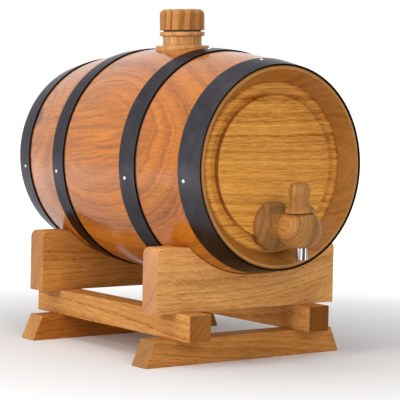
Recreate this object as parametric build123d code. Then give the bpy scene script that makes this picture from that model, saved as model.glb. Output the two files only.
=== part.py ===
from build123d import *
import math
import os

# A small oak drinks barrel with a wooden tap, lying on a low oak stand.
# Lengths are in millimetres and angles in degrees.
# The barrel's axis runs along Y with the tap's end towards -Y, +X is on the right seen from that
# end and +Z is up. The origin is the middle of the floor area under the whole object.

# Barrel wall, turned and hollowed from one log
barrel_length = 286.0
belly_radius = 102.2
end_radius = 86.9
belly_wall = 14.2
end_chamfer = 1.2
end_ring_width = 2.2
mouth_bevel_width = 9.8
head_seat_width = 3.7
head_recess = 10.3
barrel_roll = 2.2  # the barrel lies turned this far in its cradles, top towards -X

# Heads that close the two ends
head_thickness = 13.0
head_edge_chamfer = 0.8
head_rim_width = 5.3
groove_lip_width = 2.2
groove_slope_width = 4.5
groove_wall_width = 0.6
panel_rise = 2.5  # the panel stands this far proud of the rim
groove_depth = 2.1  # below the rim
groove_shoulder_depth = 0.7
panel_edge_rounding = 0.6
groove_bottom_rounding = 0.25
groove_shoulder_rounding = 1.5
groove_lip_rounding = 0.8
glue_gap = 0.1

# Steel hoops
hoop_thickness = 1.25
hoop_fit = 0.05
hoop_edge_rounding = 0.3
end_hoop_width = 24.6
end_hoop_overhang = 0.3
bilge_hoop_width = 20.4
bilge_hoop_inset = 77.5  # from the barrel's end to the hoop's outer edge

# Hoop nails, evenly spaced round each hoop; an inset is from the hoop's outer edge to the nails
nails_per_hoop = 4
nail_turn = -5.0  # of the nail on the -X side, upwards
front_end_nail_inset = 18.5
front_bilge_nail_inset = 13.0
rear_bilge_nail_inset = 7.0
rear_end_nail_inset = 14.5
nail_head_radius = 1.6
nail_head_height = 0.8
nail_shank_radius = 0.7
nail_length = 9.0
nail_fit = 0.05

# Filler neck, turned in one with its flange, lip and the spigot glued into the bung hole
flange_radius = 24.3
flange_rise = 1.9
flange_skirt = 9.0
neck_radius = 17.6
neck_height = 8.6
lip_radius = 20.4
lip_height = 4.0
lip_rounding = 1.3
flange_rounding = 0.8
neck_foot_rounding = 1.2
under_lip_rounding = 0.5
spigot_radius = 14.5
spigot_reach = 2.5
bore_mouth_radius = 12.0
bore_end_radius = 10.6

# Stopper: a wooden cap with a cork glued into it and a washer under it
cap_radius = 20.3
cap_height = 19.0
cap_top_rounding = 5.0
cap_bottom_rounding = 0.8
seal_radius = 17.0
seal_thickness = 1.3
cork_length = 17.0
cork_in_cap = 8.0
cork_clearance = 0.25
cork_end_rounding = 1.0

# Tap body; stations are distances forward of the front head's face
tap_rise = 23.3  # from the lowest point of the mouth up to the tap's axis
tap_shift = 3.9  # angle round the head from its lowest point to the tap, towards -X
tap_lean = 2.3  # the tap is turned this much more than the barrel, top towards -X
tap_flange_radius = 21.0
tap_flange_rim = 3.4
tap_flange_face_radius = 17.2
tap_flange_face_station = 6.4
tap_neck_radius = 9.8
tap_neck_station = 14.2
bulb_start_station = 16.6
bulb_length = 38.6
bulb_radius = 16.6
bulb_squareness = 2.4
bulb_points = 9
bulb_flat_height = 13.6
bulb_start_slope = 0.45  # rise along the axis for each step outwards where the bulb leaves its neck
cone_start_slope = 0.35  # the same where the cone leaves the flange's face
plug_radius = 8.5
plug_reach = 8.0
plug_rounding = 1.0
passage_radius = 3.0

# Key: the knob, collar and tapered shank that turn in the tap body
key_station = 37.6
key_fit = 0.05
collar_gap = 0.8
collar_radius = 12.6
collar_thickness = 2.4
collar_rounding = 0.7
key_neck_radius = 7.6
key_neck_height = 6.6
knob_radius = 9.4
knob_widest_height = 17.4
knob_height = 25.2
knob_squareness = 2.5
knob_points = 5
shank_top_radius = 7.4
shank_end_radius = 6.3
shank_end_depth = 15.4
sleeve_wall = 1.0
sleeve_end_depth = 14.6

# Spout tube pressed into the key's lower end
spout_radius = 4.95
spout_wall = 0.7
spout_step = 0.3  # the end inside the key is this much thinner all round, up to a shoulder
spout_length = 20.3
spout_drop = 25.8  # from the tap's axis to the spout's lower end
spout_edge_rounding = 0.2
spout_fit = 0.02

# Stand: two feet, two rails on them and two cradles on the rails
foot_length = 214.8
foot_top_length = 195.8
foot_height = 22.5
foot_width = 21.4
foot_inset = 52.5  # from the barrel's end to the foot's middle, if the barrel lay centred
rail_width = 22.8
rail_height = 23.0
rail_inset = 21.35
rail_spacing = 131.6
cradle_length = 196.0
cradle_height = 55.5
cradle_width = 21.4
cradle_inset = 51.4
cradle_floor = 28.8  # wood left under the barrel at the middle of a cradle
cradle_corner_rounding = 6.0
barrel_offset = -1.9  # the barrel's middle from the stand's
saddle_gap = 0.35
board_easing = 0.8
cradle_easing = 0.4

# Screws driven from below through a foot and a rail into a cradle
screw_radius = 2.1
screw_head_radius = 4.2
screw_head_height = 2.4
screw_length = 62.0
screw_sink = 0.7
screw_point_length = 4.0
screw_clearance = 0.2
thread_gap = 0.02
screw_slot_length = 4.4
screw_slot_width = 1.0
screw_slot_depth = 1.2

# What follows from the driving sizes
half_barrel = barrel_length / 2
head_face = half_barrel - head_recess
rim_face = head_face - panel_rise
cavity_half_length = head_face - head_thickness
cavity_belly_radius = belly_radius - belly_wall
mouth_radius = end_radius - end_chamfer - end_ring_width - mouth_bevel_width
cavity_end_radius = mouth_radius - head_seat_width
groove_outer_radius = mouth_radius - head_rim_width
groove_shoulder_radius = groove_outer_radius - groove_lip_width
groove_bottom_radius = groove_shoulder_radius - groove_slope_width
panel_radius = groove_bottom_radius - groove_wall_width
end_hoop_outer_edge = half_barrel + end_hoop_overhang
bilge_hoop_outer_edge = half_barrel - bilge_hoop_inset
tap_drop = mouth_radius - tap_rise
foot_spacing = barrel_length - 2 * foot_inset
rail_length = barrel_length - 2 * rail_inset
cradle_spacing = barrel_length - 2 * cradle_inset
rail_top = foot_height + rail_height


def bow_radius(rise, half_length):
    """Radius of the arc that falls by rise over half_length from its crown."""
    return (half_length**2 + rise**2) / (2 * rise)


outer_bow = bow_radius(belly_radius - end_radius, half_barrel)
bow_centre = belly_radius - outer_bow


def barrel_radius(place, proud=0.0):
    """Radius of the barrel's outside, or of a surface proud of it, at a distance from its middle."""
    return bow_centre + math.sqrt((outer_bow + proud) ** 2 - place**2)


axis_height = rail_top + cradle_floor + saddle_gap + barrel_radius(cradle_spacing / 2)
front_reach = head_face + bulb_start_station + bulb_length
rear_reach = end_hoop_outer_edge
barrel_middle = (front_reach - rear_reach) / 2
stand_middle = barrel_middle - barrel_offset
flange_top = belly_radius + flange_rise
lip_bottom = flange_top + neck_height
lip_top = lip_bottom + lip_height
spigot_end = cavity_belly_radius - spigot_reach
collar_bottom = bulb_flat_height + collar_gap
knob_top = collar_bottom + knob_height
spout_seat_radius = spout_radius - spout_step
screw_spacing = (foot_spacing + cradle_spacing) / 2
end_hoop_inner_edge = end_hoop_outer_edge - end_hoop_width
bilge_hoop_inner_edge = bilge_hoop_outer_edge - bilge_hoop_width
hoop_edges = {
    "front_end": (-end_hoop_outer_edge, -end_hoop_inner_edge),
    "front_bilge": (-bilge_hoop_outer_edge, -bilge_hoop_inner_edge),
    "rear_bilge": (bilge_hoop_inner_edge, bilge_hoop_outer_edge),
    "rear_end": (end_hoop_inner_edge, end_hoop_outer_edge),
}
nail_places = {
    "front_end": front_end_nail_inset - end_hoop_outer_edge,
    "front_bilge": front_bilge_nail_inset - bilge_hoop_outer_edge,
    "rear_bilge": bilge_hoop_outer_edge - rear_bilge_nail_inset,
    "rear_end": end_hoop_outer_edge - rear_end_nail_inset,
}


def turned(*corners):
    """A solid turned about Y from corners of (radius, place along Y, rounding)."""
    points = [(radius, along) for radius, along, rounding in corners]
    roundings = [rounding for radius, along, rounding in corners]
    return revolve(make_face(FilletPolyline(*points, radius=roundings, close=True)), Axis.Y)


def upright(shape):
    """Stands a shape turned about Y up, so that its axis is Z."""
    return Rot(90, 0, 0) * shape


def bar_between(radius, low, high):
    """A round bar along Y from low to high."""
    return turned((0, low, 0), (radius, low, 0), (radius, high, 0), (0, high, 0))


def bow_arc(low, high, proud=0.0):
    """The barrel's outside as an arc, or one proud of it, between two places."""
    middle = (low + high) / 2
    ends = [(barrel_radius(place, proud), place) for place in (low, middle, high)]
    return ThreePointArc(*ends)


def squircle_points(middle, half_length, radius, squareness, start, end, count):
    """Points (radius, place) of a rounded-square curve between two angles from its widest place."""
    points = []
    for index in range(count):
        angle = math.radians(start + (end - start) * index / (count - 1))
        across = abs(math.cos(angle)) ** (2 / squareness)
        along = math.copysign(abs(math.sin(angle)) ** (2 / squareness), math.sin(angle))
        points.append((radius * across, middle + half_length * along))
    return points


def on_barrel(shape):
    """Puts a shape made about the barrel's own middle where the barrel lies."""
    return Pos(0, barrel_middle, axis_height) * Rot(0, -barrel_roll, 0) * shape


def tap_spot():
    """Where the tap's axis meets the front head's face, about the barrel's own middle."""
    turn = math.radians(tap_shift)
    return Pos(-tap_drop * math.sin(turn), -head_face, -tap_drop * math.cos(turn))


def on_tap(shape):
    """Puts a shape made about the tap's axis, forward along +Y from the head's face, in place."""
    return on_barrel(tap_spot() * Rot(0, -tap_lean, 0) * Rot(0, 0, 180) * shape)


def on_key(shape):
    """Puts a shape made about the key's upright axis, with the tap's axis at height 0, in place."""
    return on_tap(Pos(0, key_station, 0) * shape)


def nail_place(shape, place, turn):
    """Puts a shape made on the hoop's outside at the top, pointing up, square to the hoop."""
    slope = math.degrees(math.asin(place / (outer_bow + hoop_thickness)))
    raised = Pos(0, 0, bow_centre) * Rot(-slope, 0, 0) * Pos(0, 0, outer_bow + hoop_thickness) * shape
    return Rot(0, turn, 0) * raised


def nail_turns():
    """How far each nail of a hoop is turned from the top towards +X."""
    return [nail_turn - 90 + 360 * index / nails_per_hoop for index in range(nails_per_hoop)]


def nail_holes(place):
    """The holes of one hoop's nails, each hole's seam turned off the wall's steepest line."""
    depth = nail_length + nail_fit
    seam_turn = 45
    straight = upright(bar_between(nail_shank_radius + nail_fit, -depth, nail_head_height))
    hole = Rot(0, 0, seam_turn) * straight
    return [nail_place(hole, place, turn) for turn in nail_turns()]


def nails(place):
    """One hoop's domed nails."""
    top = (0, nail_fit + nail_head_height)
    rim = (nail_head_radius, nail_fit)
    dome = RadiusArc(rim, top, -bow_radius(nail_head_height, nail_head_radius))
    shank = Polyline(
        top,
        (0, -nail_length),
        (nail_shank_radius, nail_shank_radius - nail_length),
        (nail_shank_radius, nail_fit),
        rim,
    )
    nail = upright(revolve(make_face([dome, shank]), Axis.Y))
    return [nail_place(nail, place, turn) for turn in nail_turns()]


def envelope(gap):
    """Everything inside the barrel's outside, or inside a surface a gap outside it."""
    rim = barrel_radius(half_barrel, gap)
    ends = Polyline((rim, half_barrel), (0, half_barrel), (0, -half_barrel), (rim, -half_barrel))
    return revolve(make_face([bow_arc(-half_barrel, half_barrel, gap), ends]), Axis.Y)


def barrel_body():
    """The wall: bowed outside, hollow inside, with a bevelled mouth and a seat at each end."""
    chamfer_start = half_barrel - end_chamfer
    outside = bow_arc(-chamfer_start, chamfer_start)
    inside = ThreePointArc(
        (cavity_end_radius, -cavity_half_length),
        (cavity_belly_radius, 0),
        (cavity_end_radius, cavity_half_length),
    )
    face = [outside, inside]
    for side in (-1, 1):
        face.append(
            Polyline(
                (barrel_radius(chamfer_start), side * chamfer_start),
                (end_radius - end_chamfer, side * half_barrel),
                (end_radius - end_chamfer - end_ring_width, side * half_barrel),
                (mouth_radius, side * rim_face),
                (mouth_radius, side * cavity_half_length),
                (cavity_end_radius, side * cavity_half_length),
            )
        )
    body = revolve(make_face(face), Axis.Y)
    body -= upright(bar_between(spigot_radius + glue_gap, 0, flange_top))
    for place in nail_places.values():
        body -= nail_holes(place)
    return on_barrel(body)


def head():
    """A head about Y with its face at 0: a raised panel, a turned groove and a flat rim."""
    seat_radius = mouth_radius - glue_gap
    return turned(
        (0, 0, 0),
        (panel_radius, 0, panel_edge_rounding),
        (groove_bottom_radius, -panel_rise - groove_depth, groove_bottom_rounding),
        (groove_shoulder_radius, -panel_rise - groove_shoulder_depth, groove_shoulder_rounding),
        (groove_outer_radius, -panel_rise, groove_lip_rounding),
        (seat_radius, -panel_rise, 0),
        (seat_radius, head_edge_chamfer - head_thickness, 0),
        (seat_radius - head_edge_chamfer, -head_thickness, 0),
        (0, -head_thickness, 0),
    )


def front_head():
    """The head at the tap's end, bored for the tap's plug."""
    bored = Pos(0, -head_face, 0) * Rot(0, 0, 180) * head()
    bored -= tap_spot() * bar_between(plug_radius + glue_gap, -1, head_thickness + 1)
    return on_barrel(bored)


def rear_head():
    """The plain head at the back."""
    return on_barrel(Pos(0, head_face, 0) * head())


def hoop(low, high, nail_row):
    """A steel hoop between two places along the barrel, with the holes of its nails."""
    inner = bow_arc(low, high, hoop_fit)
    outer = bow_arc(low, high, hoop_thickness)
    section = make_face([inner, outer, Line(inner @ 0, outer @ 0), Line(inner @ 1, outer @ 1)])
    corners = [section.vertices().sort_by_distance(outer @ end)[0] for end in (0, 1)]
    ring = revolve(fillet(corners, hoop_edge_rounding), Axis.Y)
    ring -= nail_holes(nail_row)
    return on_barrel(ring)


def filler_neck():
    """The neck: its flange is cut to the barrel's outside and its spigot fills the bung hole."""
    outside = turned(
        (0, flange_top - flange_skirt, 0),
        (flange_radius, flange_top - flange_skirt, 0),
        (flange_radius, flange_top, flange_rounding),
        (neck_radius, flange_top, neck_foot_rounding),
        (neck_radius, lip_bottom, under_lip_rounding),
        (lip_radius, lip_bottom, lip_rounding),
        (lip_radius, lip_top, lip_rounding),
        (0, lip_top, 0),
    )
    neck = upright(outside) - envelope(glue_gap)
    neck += upright(bar_between(spigot_radius, spigot_end, flange_top))
    neck -= upright(
        turned(
            (0, spigot_end, 0),
            (bore_end_radius, spigot_end, 0),
            (bore_mouth_radius, lip_top, 0),
            (0, lip_top, 0),
        )
    )
    return on_barrel(neck)


def bore_radius(height):
    """Radius of the neck's tapered bore at a height above the barrel's axis."""
    share = (height - spigot_end) / (lip_top - spigot_end)
    return bore_end_radius + (bore_mouth_radius - bore_end_radius) * share


def stopper_cap():
    """The cap, with a blind hole for the cork."""
    bottom = lip_top + seal_thickness
    cap = turned(
        (0, bottom, 0),
        (cap_radius, bottom, cap_bottom_rounding),
        (cap_radius, bottom + cap_height, cap_top_rounding),
        (0, bottom + cap_height, 0),
    )
    cap -= bar_between(bore_mouth_radius - cork_clearance + glue_gap, bottom, bottom + cork_in_cap)
    return on_barrel(upright(cap))


def stopper_cork():
    """The cork: straight where it is glued into the cap, tapered with the neck's bore below."""
    top = lip_top + seal_thickness + cork_in_cap
    low = lip_top - cork_length
    cork = turned(
        (0, low, 0),
        (bore_radius(low) - cork_clearance, low, cork_end_rounding),
        (bore_mouth_radius - cork_clearance, lip_top, 0),
        (bore_mouth_radius - cork_clearance, top, 0),
        (0, top, 0),
    )
    return on_barrel(upright(cork))


def stopper_seal():
    """The washer between the lip and the cap, round the cork."""
    seal = bar_between(seal_radius, lip_top, lip_top + seal_thickness)
    seal -= bar_between(bore_mouth_radius - cork_clearance + glue_gap, lip_top, lip_top + seal_thickness)
    return on_barrel(upright(seal))


def key_taper(extra):
    """The key's tapered shank about Y, made wider all round by extra and long enough to cut with."""
    slope = (shank_top_radius - shank_end_radius) / (bulb_flat_height + shank_end_depth)
    low = -bulb_radius - 1
    high = collar_bottom
    end = shank_end_radius + extra + slope * (low + shank_end_depth)
    top = shank_end_radius + extra + slope * (high + shank_end_depth)
    return turned((0, low, 0), (end, low, 0), (top, high, 0), (0, high, 0))


def tap_body():
    """The tap: plug, flange, cone and bulb in one, bored for the key and for the liquid."""
    plug_end = -(head_thickness + plug_reach)
    bulb_middle = bulb_start_station + bulb_length / 2
    front = squircle_points(bulb_middle, bulb_length / 2, bulb_radius, bulb_squareness, 0, 90, bulb_points)
    neck_angle = math.degrees(math.acos((tap_neck_radius / bulb_radius) ** (bulb_squareness / 2)))
    back = squircle_points(
        bulb_middle, bulb_length / 2, bulb_radius, bulb_squareness, -neck_angle, 0, bulb_points
    )
    bulb = Spline(*back, *front[1:], tangents=[(1, bulb_start_slope), (-1, 0)])
    shoulder = Spline(
        (tap_flange_face_radius, tap_flange_face_station),
        (tap_neck_radius, tap_neck_station),
        tangents=[(-1, cone_start_slope), (0, 1)],
    )
    rim = Polyline(
        bulb @ 1,
        (0, plug_end),
        (plug_radius - plug_rounding, plug_end),
        (plug_radius, plug_end + plug_rounding),
        (plug_radius, 0),
        (tap_flange_radius, 0),
        (tap_flange_radius, tap_flange_rim),
        (tap_flange_face_radius, tap_flange_face_station),
    )
    neck = Line(shoulder @ 1, bulb @ 0)
    body = revolve(make_face([bulb, shoulder, rim, neck]), Axis.Y)
    above = Box(2 * bulb_radius, bulb_length, bulb_radius, align=(Align.CENTER, Align.MIN, Align.MIN))
    body -= Pos(0, bulb_start_station, bulb_flat_height) * above
    body -= bar_between(passage_radius, plug_end, key_station)
    body -= Pos(0, key_station, 0) * upright(key_taper(key_fit + sleeve_wall + glue_gap))
    return on_tap(body)


def key_sleeve():
    """The cork sleeve that lines the key's bore, open towards the passage."""
    sleeve = upright(key_taper(key_fit + sleeve_wall)) - upright(key_taper(key_fit))
    keep = upright(bar_between(2 * bulb_radius, -sleeve_end_depth, bulb_flat_height))
    sleeve &= keep
    sleeve -= bar_between(passage_radius, -bulb_radius, 0)
    return on_key(sleeve)


def tap_key():
    """The key at shut: its cross hole points to the side, away from the passage."""
    collar_top = collar_bottom + collar_thickness
    widest = collar_bottom + knob_widest_height
    crown = squircle_points(
        widest, knob_top - widest, knob_radius, knob_squareness, 0, 90, knob_points
    )
    knob = Spline(
        (key_neck_radius, collar_bottom + key_neck_height),
        *crown,
        tangents=[(0, 1), (-1, 0)],
    )
    collar = FilletPolyline(
        (0, collar_bottom),
        (collar_radius, collar_bottom),
        (collar_radius, collar_top),
        (key_neck_radius, collar_bottom + key_neck_height),
        radius=[collar_rounding / 2, collar_rounding],
    )
    grip = revolve(make_face([knob, collar, Line(knob @ 1, collar @ 0)]), Axis.Y)
    shank = key_taper(0) & bar_between(bulb_radius, -shank_end_depth, collar_bottom)
    tube_top = spout_length - spout_drop
    key = upright(grip + shank)
    key -= upright(bar_between(spout_seat_radius + spout_fit, -shank_end_depth, tube_top))
    key -= upright(bar_between(passage_radius, tube_top, passage_radius))
    key -= Rot(0, 0, -90) * bar_between(passage_radius, 0, bulb_radius)
    return on_key(key)


def spout_tube():
    """The steel spout, with a shoulder that stops it against the key's lower end."""
    bottom = -spout_drop
    top = bottom + spout_length
    shoulder = -shank_end_depth - spout_fit
    inner_radius = spout_radius - spout_wall
    tube = turned(
        (inner_radius, bottom, spout_edge_rounding),
        (spout_radius, bottom, spout_edge_rounding),
        (spout_radius, shoulder, 0),
        (spout_seat_radius, shoulder, 0),
        (spout_seat_radius, top, 0),
        (inner_radius, top, 0),
    )
    return on_key(upright(tube))


def screw_spots():
    """Where the four screws stand."""
    spots = []
    for x in (-rail_spacing / 2, rail_spacing / 2):
        for y in (-screw_spacing / 2, screw_spacing / 2):
            spots.append((x, stand_middle + y))
    return spots


def at_screws(shape):
    """Copies of a shape at each screw."""
    return [Pos(x, y, 0) * shape for x, y in screw_spots()]


def clearance_hole():
    """The countersunk hole through a foot and a rail."""
    radius = screw_radius + screw_clearance
    head_radius = screw_head_radius + screw_clearance
    return upright(
        turned(
            (0, 0, 0),
            (head_radius, 0, 0),
            (head_radius, screw_sink, 0),
            (radius, screw_sink + screw_head_height, 0),
            (radius, rail_top, 0),
            (0, rail_top, 0),
        )
    )


def pilot_hole():
    """The blind hole in a cradle that a screw's thread fills."""
    radius = screw_radius + thread_gap
    return upright(bar_between(radius, rail_top, screw_sink + screw_length + screw_clearance))


def stand_screws():
    """Four countersunk screws with a cross slot, heads sunk in the feet's undersides."""
    tip = screw_sink + screw_length
    screw = upright(
        turned(
            (0, screw_sink, 0),
            (screw_head_radius, screw_sink, 0),
            (screw_radius, screw_sink + screw_head_height, 0),
            (screw_radius, tip - screw_point_length, 0),
            (0, tip, 0),
        )
    )
    slot = Box(screw_slot_length, screw_slot_width, 2 * screw_slot_depth)
    for turn in (0, 90):
        screw -= Pos(0, 0, screw_sink) * Rot(0, 0, turn) * slot
    return at_screws(screw)


def foot(side):
    """A foot: a bar along X with slanted ends."""
    outline = Polyline(
        (-foot_length / 2, 0),
        (foot_length / 2, 0),
        (foot_top_length / 2, foot_height),
        (-foot_top_length / 2, foot_height),
        close=True,
    )
    bar = extrude(Plane.XZ * make_face(outline), foot_width / 2, both=True)
    bar = fillet(bar.edges(), board_easing)
    bar = Pos(0, stand_middle + side * foot_spacing / 2, 0) * bar
    return bar - at_screws(clearance_hole())


def rail(side):
    """A rail: a straight bar along Y on the feet."""
    bar = Box(rail_width, rail_length, rail_height, align=(Align.CENTER, Align.CENTER, Align.MIN))
    bar = fillet(bar.edges(), board_easing)
    bar = Pos(side * rail_spacing / 2, stand_middle, foot_height) * bar
    return bar - at_screws(clearance_hole())


def cradle(side):
    """A cradle: a board across the rails with a saddle cut to the barrel's outside."""
    board = Box(cradle_length, cradle_width, cradle_height, align=(Align.CENTER, Align.CENTER, Align.MIN))
    board = fillet(board.edges().filter_by(Axis.Y).group_by(Axis.Z)[-1], cradle_corner_rounding)
    board = Pos(0, stand_middle + side * cradle_spacing / 2, rail_top) * board
    board -= on_barrel(envelope(saddle_gap))
    board = fillet(board.edges(), cradle_easing)
    return board - at_screws(pilot_hole())


pieces = {
    "barrel_body": barrel_body(),
    "front_head": front_head(),
    "rear_head": rear_head(),
    "filler_neck": filler_neck(),
    "stopper_cap": stopper_cap(),
    "stopper_cork": stopper_cork(),
    "stopper_seal": stopper_seal(),
    "tap_body": tap_body(),
    "key_sleeve": key_sleeve(),
    "tap_key": tap_key(),
    "spout_tube": spout_tube(),
    "front_foot": foot(-1),
    "rear_foot": foot(1),
    "left_rail": rail(-1),
    "right_rail": rail(1),
    "front_cradle": cradle(-1),
    "rear_cradle": cradle(1),
    "stand_screws": Compound(children=stand_screws()),
}
for row, (low, high) in hoop_edges.items():
    pieces[row + "_hoop"] = hoop(low, high, nail_places[row])
    pieces[row + "_nails"] = Compound(children=[on_barrel(nail) for nail in nails(nail_places[row])])

os.makedirs("parts", exist_ok=True)
for name, piece in pieces.items():
    export_step(piece, "parts/" + name + ".step")
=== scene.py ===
from math import cos, pi, radians, sin

import bpy
from mathutils import Matrix, Vector


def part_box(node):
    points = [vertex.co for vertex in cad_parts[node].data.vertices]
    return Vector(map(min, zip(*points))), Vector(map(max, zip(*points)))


# Looks, lights and camera for a small oak drinks barrel lying on an oak stand.
# The frame is in metres; the materials work in millimetres, on each piece's own coordinates.

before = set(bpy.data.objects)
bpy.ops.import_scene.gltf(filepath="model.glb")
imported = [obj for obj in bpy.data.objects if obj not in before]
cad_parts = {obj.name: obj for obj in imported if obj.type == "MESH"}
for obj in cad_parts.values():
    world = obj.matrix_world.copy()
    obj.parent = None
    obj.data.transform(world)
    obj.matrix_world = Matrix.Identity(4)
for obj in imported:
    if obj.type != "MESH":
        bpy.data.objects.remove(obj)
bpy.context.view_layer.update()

MM = 1000.0
TO_RIGHT = (1.0, 0.0, 0.0)
TO_REAR = (0.0, 1.0, 0.0)
UPWARD = (0.0, 0.0, 1.0)
WHITE = (1.0, 1.0, 1.0, 1.0)
HOOPS = ("front_end_hoop", "front_bilge_hoop", "rear_bilge_hoop", "rear_end_hoop")
AMBIENT = 0.23  # the surround's light on the object, where 1 is the white that it shows


def colour(red, green, blue):
    """A colour as 0 to 255 on screen, turned into the linear numbers that shaders take."""
    parts = [part / 255 for part in (red, green, blue)]
    linear = [p / 12.92 if p <= 0.04045 else ((p + 0.055) / 1.055) ** 2.4 for p in parts]
    return (*linear, 1.0)


def middle(*nodes):
    """The middle of the box round some nodes, in millimetres."""
    boxes = [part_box(node) for node in nodes]
    low = Vector(min(box[0][axis] for box in boxes) for axis in range(3))
    high = Vector(max(box[1][axis] for box in boxes) for axis in range(3))
    return (low + high) / 2 * MM


class Graph:
    """One material, with its nodes added and joined by plain calls."""

    def __init__(self, name):
        self.material = bpy.data.materials.new(name)
        self.material.use_nodes = True
        self.tree = self.material.node_tree
        self.tree.nodes.clear()
        coordinates = self.tree.nodes.new("ShaderNodeTexCoord")
        self.normal = coordinates.outputs["Normal"]
        self.place = self.vector("SCALE", coordinates.outputs["Object"], scale=MM)

    def put(self, socket, value):
        """Links a socket to another, or sets its value."""
        if isinstance(value, bpy.types.NodeSocket):
            self.tree.links.new(value, socket)
        elif value is not None:
            socket.default_value = value

    def add(self, kind, inputs, output=0, **settings):
        """A node with some settings and inputs, given by number or name; returns one output."""
        made = self.tree.nodes.new(kind)
        for name, value in settings.items():
            setattr(made, name, value)
        for key, value in inputs.items():
            self.put(made.inputs[key], value)
        return made.outputs[output]

    def math(self, operation, a, b=None, c=None):
        """A sum on one, two or three numbers."""
        return self.add("ShaderNodeMath", {0: a, 1: b, 2: c}, operation=operation)

    def vector(self, operation, a, b=None, scale=None):
        """A sum on one or two vectors, whose result is a number or a vector."""
        inputs = {0: a, 1: b} if scale is None else {0: a, "Scale": scale}
        output = "Value" if operation in ("DOT_PRODUCT", "LENGTH", "DISTANCE") else "Vector"
        return self.add("ShaderNodeVectorMath", inputs, output, operation=operation)

    def reach(self, vector, direction):
        """How far a vector reaches along a fixed direction."""
        return self.vector("DOT_PRODUCT", vector, tuple(direction))

    def facing(self, direction):
        """How squarely the surface faces along a direction, either way, from 0 to 1."""
        return self.math("ABSOLUTE", self.reach(self.normal, direction))

    def span(self, value, low, high, to_low=0.0, to_high=1.0, smooth=False):
        """Carries a value from one range to another and keeps it inside."""
        kind = "SMOOTHSTEP" if smooth else "LINEAR"
        inputs = {0: value, 1: low, 2: high, 3: to_low, 4: to_high}
        return self.add("ShaderNodeMapRange", inputs, interpolation_type=kind)

    def mix(self, factor, a, b):
        """Goes from colour a to colour b as the factor goes from 0 to 1."""
        inputs = {0: factor, 6: a, 7: b}
        return self.add("ShaderNodeMix", inputs, 2, data_type="RGBA")

    def noise(self, place, size, detail=2.0, roughness=0.5, output="Fac"):
        """Noise whose lumps have about the given size in millimetres along each axis."""
        scaled = self.vector("MULTIPLY", place, tuple(1 / part for part in size))
        inputs = {"Vector": scaled, "Scale": 1.0, "Detail": detail, "Roughness": roughness}
        return self.add("ShaderNodeTexNoise", inputs, output)

    def grain_noise(self, place, size, detail, roughness=0.5):
        """Noise in lumps of a width and a length, which lie along z."""
        wide, long = size
        return self.noise(place, (wide, wide, long), detail=detail, roughness=roughness)

    def line_noise(self, value, size, detail=1.0):
        """Noise along one number."""
        inputs = {"W": self.math("DIVIDE", value, size), "Scale": 1.0, "Detail": detail}
        return self.add("ShaderNodeTexNoise", inputs, noise_dimensions="1D")

    def bump(self, height, depth):
        """A normal from a height, where 1 stands for the given depth in millimetres."""
        inputs = {"Strength": 1.0, "Distance": depth / MM, "Height": height}
        return self.add("ShaderNodeBump", inputs)

    def finish(self, **inputs):
        """Closes the material with a Principled shader; an underscore stands for a space."""
        named = {name.replace("_", " "): value for name, value in inputs.items()}
        surface = self.add("ShaderNodeBsdfPrincipled", named)
        output = self.tree.nodes.new("ShaderNodeOutputMaterial")
        self.tree.links.new(surface, output.inputs["Surface"])
        return self.material


def swept(g, sweep):
    """The place as swept grain sees it, where the grain climbs more and more towards +X."""
    sideways = g.math("MAXIMUM", g.reach(g.place, TO_RIGHT), 0.0)
    drop = g.math("MULTIPLY", g.math("MULTIPLY", sideways, sideways), -sweep)
    return g.vector("ADD", g.place, g.vector("SCALE", UPWARD, scale=drop))


def from_pith(g, place, direction, pith):
    """A place measured from the pith, with z along the grain."""
    turn = direction.to_track_quat("Z", "Y").to_euler()
    inputs = {"Vector": place, "Location": tuple(pith), "Rotation": turn}
    return g.add("ShaderNodeMapping", inputs, vector_type="TEXTURE")


def push(g, local, size, detail, most):
    """A push that differs from place to place, of about the given length at most."""
    lumps = g.noise(local, size, detail=detail, output="Color")
    return g.vector("SCALE", g.vector("SUBTRACT", lumps, (0.5, 0.5, 0.5)), scale=2 * most)


def round_knot(g, distance, knot_place, knot_size):
    """The distance from the pith with rings drawn round a knot, and the darkness of its core."""
    away = g.vector("DISTANCE", g.place, tuple(knot_place))
    lift = g.math("EXPONENT", g.math("DIVIDE", away, -knot_size))
    core = g.span(away, 0.1 * knot_size, 0.4 * knot_size, 0.8, 0.0, smooth=True)
    return g.math("MULTIPLY_ADD", lift, -1.8 * knot_size, distance), core


def ring_clearness(g, direction, pith):
    """How well rings show, from 0 to 1: less where the surface runs level with them."""
    offset = g.vector("SUBTRACT", g.place, tuple(pith))
    lengthwise = g.vector("SCALE", tuple(direction), scale=g.reach(offset, direction))
    outward = g.vector("NORMALIZE", g.vector("SUBTRACT", offset, lengthwise))
    level = g.vector("DOT_PRODUCT", g.normal, outward)
    slant = g.math("SQRT", g.math("MULTIPLY_ADD", g.math("MULTIPLY", level, level), -1.0, 1.0001))
    return g.span(slant, 0.05, 0.15, smooth=True)


def years(g, distance, ring):
    """Rings with a sharp dark start and a slow return to light, each year of its own strength."""
    shade_sum = g.math("MULTIPLY_ADD", g.line_noise(distance, 4 * ring), 3 * ring, distance)
    count = g.math("DIVIDE", shade_sum, ring)
    within = g.math("FRACT", count)
    fall = g.math("POWER", g.math("SUBTRACT", 1.0, within), 1.8)
    year = g.math("MULTIPLY", g.span(within, 0.0, 0.1), fall)
    number = g.math("FLOOR", count)
    strength = g.add("ShaderNodeTexWhiteNoise", {"W": number}, noise_dimensions="1D")
    return g.math("MULTIPLY", year, g.span(strength, 0.0, 1.0, 0.3, 1.0))


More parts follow.
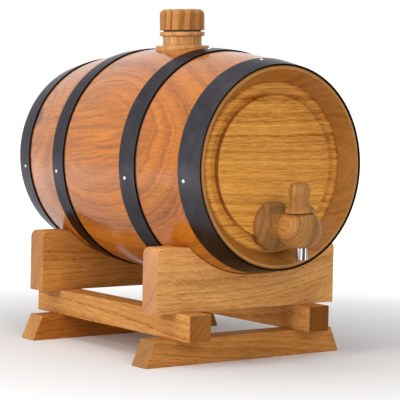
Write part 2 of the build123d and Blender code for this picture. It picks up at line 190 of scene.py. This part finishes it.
def oak(name, grain, pith, light, dark, end, ring, group, bend, wave, ring_depth, group_depth,
        streak_depth, roughness, run=45.0, streak=(1.4, 30.0), pore_depth=0.35, pore=(0.6, 5.0),
        band_depth=0.0, band=None, end_span=(0.45, 0.9), knot=None, sweep=0.0, painted_shade=None,
        marks=None, tone=0.15, coat=None, **finish):
    """Oak whose growth rings lie round a pith line through one point, along the grain.

    The wood takes its light colour between the rings, its dark one in them and its end colour
    where the grain meets the surface, which end_span gives as how squarely it faces the grain.
    ring is one year's growth and group the years that go dark or light together; bend and wave
    push the rings about slowly and quickly, and run is how far along the grain a quick push
    lasts. band, streak and pore are widths and lengths, a knot is a point and a size, and sweep
    lifts the grain towards +X by that part of the square of the distance. tone is the darkness
    between the rings, painted_shade adds darkness that stands in for shade, and marks lays other
    colours over the wood. coat is the clear coat's weight beside the end grain and on it. All
    lengths are in millimetres.
    the clear coat's weight beside the end grain and on it. All lengths are in millimetres.
    """
    g = Graph(name)
    direction = Vector(grain).normalized()
    place = swept(g, sweep) if sweep else g.place
    local = from_pith(g, place, direction, pith)
    slow = push(g, local, size=(70.0, 70.0, 160.0), detail=0.0, most=bend)
    quick = push(g, local, size=(10.0, 10.0, run), detail=1.0, most=wave)
    pushed = g.vector("ADD", g.vector("ADD", local, slow), quick)
    distance = g.vector("LENGTH", g.vector("MULTIPLY", pushed, (1.0, 1.0, 0.0)))
    core = 0.0
    if knot:
        distance, core = round_knot(g, distance, *knot)

    clear = ring_clearness(g, direction, pith)
    year = years(g, distance, ring)
    groups = g.span(g.line_noise(distance, group, detail=2.0), 0.35, 0.65)
    streaks = g.span(g.grain_noise(local, streak, detail=3.0, roughness=0.65), 0.36, 0.64)
    pores = g.span(g.grain_noise(local, pore, detail=1.0), 0.5, 0.62)
    pores = g.math("MULTIPLY", pores, g.math("MULTIPLY_ADD", year, 0.85, 0.15))

    total = g.math("MULTIPLY", year, ring_depth)
    total = g.math("MULTIPLY_ADD", g.math("SUBTRACT", groups, 0.5), group_depth, total)
    total = g.math("MULTIPLY_ADD", total, clear, core)
    total = g.math("MULTIPLY_ADD", g.math("SUBTRACT", streaks, 0.5), streak_depth, total)
    if band:
        bands = g.span(g.grain_noise(pushed, band, detail=2.0), 0.36, 0.66, -0.5, 0.5)
        bands = g.math("MULTIPLY", bands, g.math("MULTIPLY_ADD", clear, -0.7, 1.0))
        total = g.math("MULTIPLY_ADD", bands, band_depth, total)
    total = g.math("ADD", total, tone)
    total = g.math("MULTIPLY_ADD", pores, pore_depth, total)
    # Painted shade, given by the caller, darkens the wood here.
    if painted_shade:
        total = g.math("ADD", total, painted_shade(g))
    depth = g.span(total, 0.0, 1.0)

    across = g.span(g.facing(direction), *end_span, smooth=True)
    dark_end = (*[0.4 * part for part in end[:3]], 1.0)
    wood = g.mix(across, g.mix(depth, light, dark), g.mix(depth, end, dark_end))
    clouds = g.span(g.grain_noise(local, (38.0, 90.0), detail=2.0), 0.3, 0.7, 0.9, 1.1)
    wood = g.vector("SCALE", wood, scale=clouds)
    if marks:
        wood = marks(g, wood)

    height = g.math("MULTIPLY_ADD", pores, -1.0, g.math("MULTIPLY", year, -0.4))
    dull = g.span(total, 0.0, 1.0, roughness, roughness + 0.12)
    if coat:
        finish["Coat_Weight"] = g.span(across, 0.0, 1.0, *coat)
    finish.setdefault("Specular_IOR_Level", 0.2)
    return g.finish(Base_Color=wood, Roughness=dull, Normal=g.bump(height, 0.05), **finish)


def barrel_painted_light(g, wood):
    """A painted highlight on the stave ends, and painted contact shadow in front of each hoop."""
    facing = g.facing(TO_REAR)
    # Painted highlight: the end faces of the staves are paled.
    end_highlight = g.span(facing, 0.8, 0.95, 0.0, 0.25)
    wood = g.mix(end_highlight, wood, colour(214, 168, 112))
    along = g.reach(g.place, TO_REAR)
    nearest = 100.0
    for hoop in HOOPS:
        hoop_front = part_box(hoop)[0][1] * MM
        away = g.math("ABSOLUTE", g.math("SUBTRACT", along, hoop_front))
        nearest = g.math("MINIMUM", away, nearest)
    # Painted shade: a contact shadow on the staves along each hoop's front edge.
    hoop_shadow = g.span(nearest, 0.9, 2.6, 0.92, 0.0)
    outside = g.span(facing, 0.3, 0.4, 1.0, 0.0)
    return g.mix(g.math("MULTIPLY", hoop_shadow, outside), wood, colour(40, 22, 12))


def barrel_oak():
    """Orange-brown oak under a clear gloss; the log's pith slopes gently down to the rear."""
    barrel_middle = middle("barrel_body")
    pith = barrel_middle + Vector((60.0, 0.0, -13.0))
    knot_place = barrel_middle + Vector((-86.0, 113.5, 35.0))
    return oak("barrel_oak", (0.0, 178.0, -18.0), pith, light=colour(203, 117, 20),
               dark=colour(106, 45, 4), end=colour(172, 111, 44), ring=1.0, group=5.5,
               bend=4.0, wave=0.6, run=150.0, ring_depth=0.38, group_depth=0.28,
               streak_depth=0.3, streak=(1.2, 14.0), pore_depth=0.3, band_depth=0.55,
               band=(2.6, 55.0), end_span=(0.3, 0.62), knot=(knot_place, 30.0), tone=0.24,
               marks=barrel_painted_light, roughness=0.55, coat=(1.0, 0.15), Coat_Roughness=0.16,
               Coat_IOR=1.5, Specular_IOR_Level=0.1)


def head_oak(node):
    """Golden oak, its grain level, with painted shade that darkens it in some places."""
    centre = middle(node)
    pith = centre + Vector((0.0, 60.0, -260.0))
    edge = (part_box(node)[1][0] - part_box(node)[0][0]) / 2 * MM

    def head_painted_shade(g):
        """Painted shade: darker in the corner by the chime, in the groove, high up under the rim and
        to the right, away from the side light.
        """
        offset = g.vector("SUBTRACT", g.place, tuple(centre))
        radius = g.vector("LENGTH", g.vector("MULTIPLY", offset, (1.0, 0.0, 1.0)))
        inset = g.math("SUBTRACT", edge, radius)
        corner = g.span(inset, 0.6, 2.6, 0.4, 0.0)
        past_rim = g.span(inset, 5.6, 6.4)
        before_panel = g.span(inset, 12.2, 12.5, 1.0, 0.0)
        groove = g.math("MINIMUM", past_rim, before_panel)
        right = g.span(g.reach(offset, TO_RIGHT), 5.0, 70.0, 0.0, 0.2)
        top = g.span(g.reach(offset, UPWARD), -20.0, 70.0, 0.0, 0.24, smooth=True)
        shade_sum = g.math("ADD", g.math("ADD", corner, top), right)
        return g.math("MULTIPLY_ADD", groove, 0.14, shade_sum)

    # The head's painted shade darkens its corner, groove, top and right side.
    return oak(node + "_oak", (1.0, 0.0, 0.012), pith, light=colour(236, 168, 76),
               dark=colour(146, 76, 2), end=colour(180, 120, 60), ring=1.9, group=4.5, bend=5.0,
               wave=1.4, run=22.0, ring_depth=0.42, group_depth=0.35, streak_depth=0.4,
               streak=(1.3, 14.0), pore_depth=0.3, painted_shade=head_painted_shade, roughness=0.45,
               Coat_Weight=0.12, Coat_Roughness=0.25, Coat_IOR=1.5, Specular_IOR_Level=0.1)


def turned_oak(name, node, shift, light, dark):
    """The stopper's and the neck's oak, striped upright."""
    pith = middle(node) + Vector(shift)
    return oak(name, (0.02, 0.0, 1.0), pith, light=light, dark=dark,
               end=colour(200, 146, 90), ring=2.4, group=5.0, bend=2.0, wave=0.5,
               ring_depth=0.6, group_depth=0.6, streak_depth=0.4, roughness=0.5)


def tap_oak():
    """The tap's greyer oak, its grain running from front to rear."""
    pith = middle("tap_body") + Vector((165.0, 0.0, -30.0))
    return oak("tap_oak", (0.05, 1.0, 0.05), pith, light=colour(184, 126, 62),
               dark=colour(110, 66, 22), end=colour(168, 116, 60), ring=2.0, group=6.0,
               bend=3.0, wave=0.8, ring_depth=0.6, group_depth=0.45, streak_depth=0.35,
               pore_depth=0.6, roughness=0.5)


def key_oak():
    """The tap key's oak, with its grain upright."""
    pith = middle("tap_key") + Vector((76.0, -56.0, 0.0))
    return oak("key_oak", (0.06, 0.0, 1.0), pith, light=colour(176, 122, 62),
               dark=colour(104, 58, 20), end=colour(160, 108, 58), ring=1.5, group=4.0,
               bend=2.0, wave=0.8, ring_depth=0.55, group_depth=0.45, streak_depth=0.35,
               roughness=0.5)


def stand_oak(node, grain, shift, light=colour(224, 160, 88), dark=colour(144, 80, 22),
              end=colour(214, 152, 104), pore_depth=0.7, sweep=0.0):
    """The stand's lighter oak; shift leads from a board's middle to the pith of its tree."""
    pith = middle(node) + Vector(shift)
    return oak(node + "_oak", grain, pith, light=light, dark=dark, end=end, ring=3.4, group=14.0,
               bend=5.0, wave=0.7, ring_depth=0.45, group_depth=0.22, streak_depth=0.4,
               streak=(1.1, 14.0), pore_depth=pore_depth, pore=(0.7, 4.0), sweep=sweep,
               roughness=0.5, Specular_IOR_Level=0.12)


def hoop_steel():
    """Blue-black steel strip that shows a dim picture of what is round it, with darker cut edges."""
    g = Graph("hoop_steel")
    mottle = g.noise(g.place, (14.0, 14.0, 14.0), detail=4.0)
    scratches = g.noise(g.place, (0.6, 9.0, 9.0), detail=3.0)
    steel = g.mix(g.span(mottle, 0.3, 0.7), colour(64, 62, 66), colour(76, 74, 79))
    cut_edge = g.span(g.facing(TO_REAR), 0.3, 0.6)
    steel = g.mix(cut_edge, steel, colour(8, 6, 5))
    dull = g.span(scratches, 0.3, 0.7, 0.22, 0.32)
    fine = g.noise(g.place, (0.5, 0.5, 0.5), detail=2.0)
    return g.finish(Base_Color=steel, Metallic=1.0, Roughness=dull, Normal=g.bump(fine, 0.01),
                    Specular_Tint=(0.6, 0.6, 0.62, 1.0))


def nail_steel():
    """Bright plated nail heads."""
    g = Graph("nail_steel")
    specks = g.noise(g.place, (0.5, 0.5, 0.5), detail=3.0)
    plate = g.mix(g.span(specks, 0.35, 0.7), colour(236, 232, 226), colour(206, 200, 192))
    return g.finish(Base_Color=plate, Metallic=0.7, Roughness=g.span(specks, 0.3, 0.7, 0.3, 0.45))


def spout_steel():
    """Polished steel tube with drawing streaks along it, painted so light and dark that they also
    stand in for reflections.
    """
    g = Graph("spout_steel")
    from_middle = g.vector("SUBTRACT", g.place, tuple(middle("spout_tube")))
    # Painted reflection: the tube's colour runs from near black to near white in bands along it.
    streaks = g.grain_noise(from_middle, (2.4, 200.0), detail=1.0)
    painted_reflection = g.mix(g.span(streaks, 0.42, 0.6), colour(62, 60, 64), colour(232, 230, 228))
    dull = g.span(streaks, 0.3, 0.7, 0.12, 0.2)
    return g.finish(Base_Color=painted_reflection, Metallic=1.0, Roughness=dull)


def screw_steel():
    """Yellowish plated screws."""
    g = Graph("screw_steel")
    wear = g.noise(g.place, (1.5, 1.5, 1.5), detail=4.0)
    plate = g.mix(g.span(wear, 0.35, 0.65), colour(190, 170, 120), colour(150, 134, 100))
    return g.finish(Base_Color=plate, Metallic=1.0, Roughness=g.span(wear, 0.3, 0.7, 0.3, 0.5))


def cork():
    """Pressed cork with its grains and dark specks."""
    g = Graph("cork")
    cells = {"Vector": g.vector("SCALE", g.place, scale=0.8), "Scale": 1.0}
    grains = g.add("ShaderNodeTexVoronoi", cells, "Color")
    grain_tone = g.vector("DOT_PRODUCT", grains, (0.33, 0.33, 0.33))
    body = g.mix(grain_tone, colour(206, 160, 112), colour(170, 118, 74))
    specks = g.span(g.noise(g.place, (0.9, 0.9, 0.9), detail=3.0), 0.62, 0.7)
    body = g.mix(specks, body, colour(84, 50, 30))
    height = g.math("SUBTRACT", grain_tone, specks)
    return g.finish(Base_Color=body, Roughness=0.85, Normal=g.bump(height, 0.12))


def seal_rubber():
    """Dark rubber washer with a little dust."""
    g = Graph("seal_rubber")
    dust = g.noise(g.place, (2.0, 2.0, 2.0), detail=4.0)
    body = g.mix(g.span(dust, 0.45, 0.75), colour(34, 26, 20), colour(62, 50, 40))
    return g.finish(Base_Color=body, Roughness=g.span(dust, 0.3, 0.7, 0.55, 0.75))


def dress(material, *nodes):
    """Gives one material to every slot of some nodes."""
    for node in nodes:
        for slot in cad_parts[node].material_slots:
            slot.material = material


def dress_stand():
    """Each board of the stand, with its own grain, tones and place in the tree; the rear cradle's
    tones and the right rail's end colour are darkened as painted shade.
    """
    boards = {
        "front_cradle": dict(grain=(1.0, 0.0, 0.0), shift=(0.0, 70.0, 45.0), sweep=0.0018,
                             light=colour(234, 174, 102), dark=colour(156, 92, 32), pore_depth=0.6),
        # Painted shade: the rear cradle's colours are darker, for the shade under the barrel.
        "rear_cradle": dict(grain=(1.0, 0.0, -0.03), shift=(0.0, -150.0, -80.0),
                            light=colour(218, 150, 74), dark=colour(136, 72, 12),
                            end=colour(194, 134, 84)),
        "left_rail": dict(grain=(0.02, 1.0, 0.09), shift=(40.0, 0.0, -30.0),
                          end=colour(164, 104, 42)),
        # The right rail's end colour is darker end grain, and painted shade from the cradle above
        # it.
        "right_rail": dict(grain=(0.02, 1.0, -0.04), shift=(-110.0, 0.0, 10.0),
                           end=colour(138, 80, 18)),
        "front_foot": dict(grain=(1.0, 0.0, -0.11), shift=(0.0, 60.0, 60.0),
                           light=colour(206, 142, 70), dark=colour(138, 78, 24),
                           end=colour(184, 128, 74)),
        "rear_foot": dict(grain=(1.0, 0.0, 0.08), shift=(0.0, -50.0, 60.0),
                          light=colour(188, 116, 42), dark=colour(118, 56, 6),
                          end=colour(204, 144, 84)),
    }
    for node, looks in boards.items():
        dress(stand_oak(node, **looks), node)
    dress(screw_steel(), "stand_screws")


def dress_barrel():
    """The barrel, its heads, hoops and nails, the neck with its stopper, and the tap."""
    dress(barrel_oak(), "barrel_body")
    for head in ("front_head", "rear_head"):
        dress(head_oak(head), head)
    dress(hoop_steel(), *HOOPS)
    dress(nail_steel(), *[hoop.replace("hoop", "nails") for hoop in HOOPS])
    neck = turned_oak("neck_oak", "filler_neck", shift=(-40.0, -52.0, 0.0),
                      light=colour(214, 160, 100), dark=colour(138, 80, 32))
    cap = turned_oak("cap_oak", "stopper_cap", shift=(60.0, -44.0, 0.0),
                     light=colour(192, 131, 67), dark=colour(108, 52, 10))
    dress(neck, "filler_neck")
    dress(cap, "stopper_cap")
    dress(seal_rubber(), "stopper_seal")
    dress(cork(), "stopper_cork", "key_sleeve")
    dress(tap_oak(), "tap_body")
    dress(key_oak(), "tap_key")
    dress(spout_steel(), "spout_tube")


def place_camera():
    """The camera stands in front and to the left, a little above the barrel's axis."""
    azimuth, elevation, roll = radians(-36.85), radians(3.72), radians(1.32)
    to_left, in_front, height = 912.74, 1246.68, 234.3
    stand_middle = middle("front_foot", "rear_foot")
    position = Vector((-to_left, stand_middle.y - in_front, height)) / MM
    back = Vector((sin(azimuth) * cos(elevation), -cos(azimuth) * cos(elevation), sin(elevation)))
    right = Vector((cos(azimuth), sin(azimuth), 0.0))
    up = back.cross(right)
    rolled_right = right * cos(roll) + up * sin(roll)
    rolled_up = up * cos(roll) - right * sin(roll)
    data = bpy.data.cameras.new("camera")
    data.sensor_width = 36.0
    data.lens = 151.6
    camera = bpy.data.objects.new("camera", data)
    bpy.context.collection.objects.link(camera)
    turn = Matrix((rolled_right, rolled_up, back)).transposed().to_4x4()
    camera.matrix_world = Matrix.Translation(position) @ turn
    bpy.context.scene.camera = camera


def seen_flag(tree):
    """1 for rays from the camera, off a glossy surface or through a clear one, else 0."""
    path = tree.nodes.new("ShaderNodeLightPath")
    flag = path.outputs["Is Camera Ray"]
    for name in ("Is Glossy Ray", "Is Transmission Ray"):
        higher = tree.nodes.new("ShaderNodeMath")
        higher.operation = "MAXIMUM"
        tree.links.new(flag, higher.inputs[0])
        tree.links.new(path.outputs[name], higher.inputs[1])
        flag = higher.outputs[0]
    return flag


def white_world():
    """A white surround that lights the object much less than it looks."""
    world = bpy.data.worlds.new("studio")
    world.use_nodes = True
    tree = world.node_tree
    background = tree.nodes["Background"]
    background.inputs["Color"].default_value = WHITE
    strength = tree.nodes.new("ShaderNodeMath")
    strength.operation = "MULTIPLY_ADD"
    tree.links.new(seen_flag(tree), strength.inputs[0])
    strength.inputs[1].default_value = 1.0 - AMBIENT
    strength.inputs[2].default_value = AMBIENT
    tree.links.new(strength.outputs[0], background.inputs["Strength"])
    bpy.context.scene.world = world


def soft_lamp(name, direction, distance, width, height, share):
    """A soft box that looks at the object; share is the part of full white that it gives."""
    target = Vector((0.0, 0.0, 0.15))
    data = bpy.data.lights.new(name, "AREA")
    data.shape = "RECTANGLE"
    data.size = width
    data.size_y = height
    data.energy = share * (pi * distance) ** 2
    lamp = bpy.data.objects.new(name, data)
    bpy.context.collection.objects.link(lamp)
    aim = Vector(direction).normalized()
    turn = aim.to_track_quat("Z", "Y").to_matrix().to_4x4()
    lamp.matrix_world = Matrix.Translation(target + aim * distance) @ turn


def pale_floor():
    """A wide white floor that keeps the object's shadow and fades into the white surround."""
    half = 12.0
    glow_start, glow_end = 150.0, 900.0
    corners = [(-half, -half, 0.0), (half, -half, 0.0), (half, half, 0.0), (-half, half, 0.0)]
    mesh = bpy.data.meshes.new("floor")
    mesh.from_pydata(corners, [], [(0, 1, 2, 3)])
    floor = bpy.data.objects.new("floor", mesh)
    bpy.context.collection.objects.link(floor)
    g = Graph("floor")
    glow = g.span(g.vector("LENGTH", g.place), glow_start, glow_end, smooth=True)
    grit = g.noise(g.place, (60.0, 60.0, 60.0), detail=2.0)
    paint = g.mix(grit, (0.91, 0.91, 0.91, 1.0), (0.89, 0.89, 0.89, 1.0))
    material = g.finish(Base_Color=paint, Roughness=0.9, Specular_IOR_Level=0.0,
                        Emission_Color=WHITE,
                        Emission_Strength=g.math("MULTIPLY", glow, seen_flag(g.tree)))
    mesh.materials.append(material)


dress_barrel()
dress_stand()
place_camera()
white_world()
soft_lamp("front_lamp", (-0.22, -0.93, 0.3), distance=1.6, width=0.7, height=1.1, share=0.3)
soft_lamp("side_lamp", (-0.95, -0.1, 0.35), distance=1.6, width=0.7, height=0.8, share=0.54)
soft_lamp("top_lamp", (-0.15, -0.1, 1.0), distance=1.9, width=2.0, height=2.0, share=0.56)
pale_floor()
bpy.context.scene.view_settings.view_transform = "Standard"
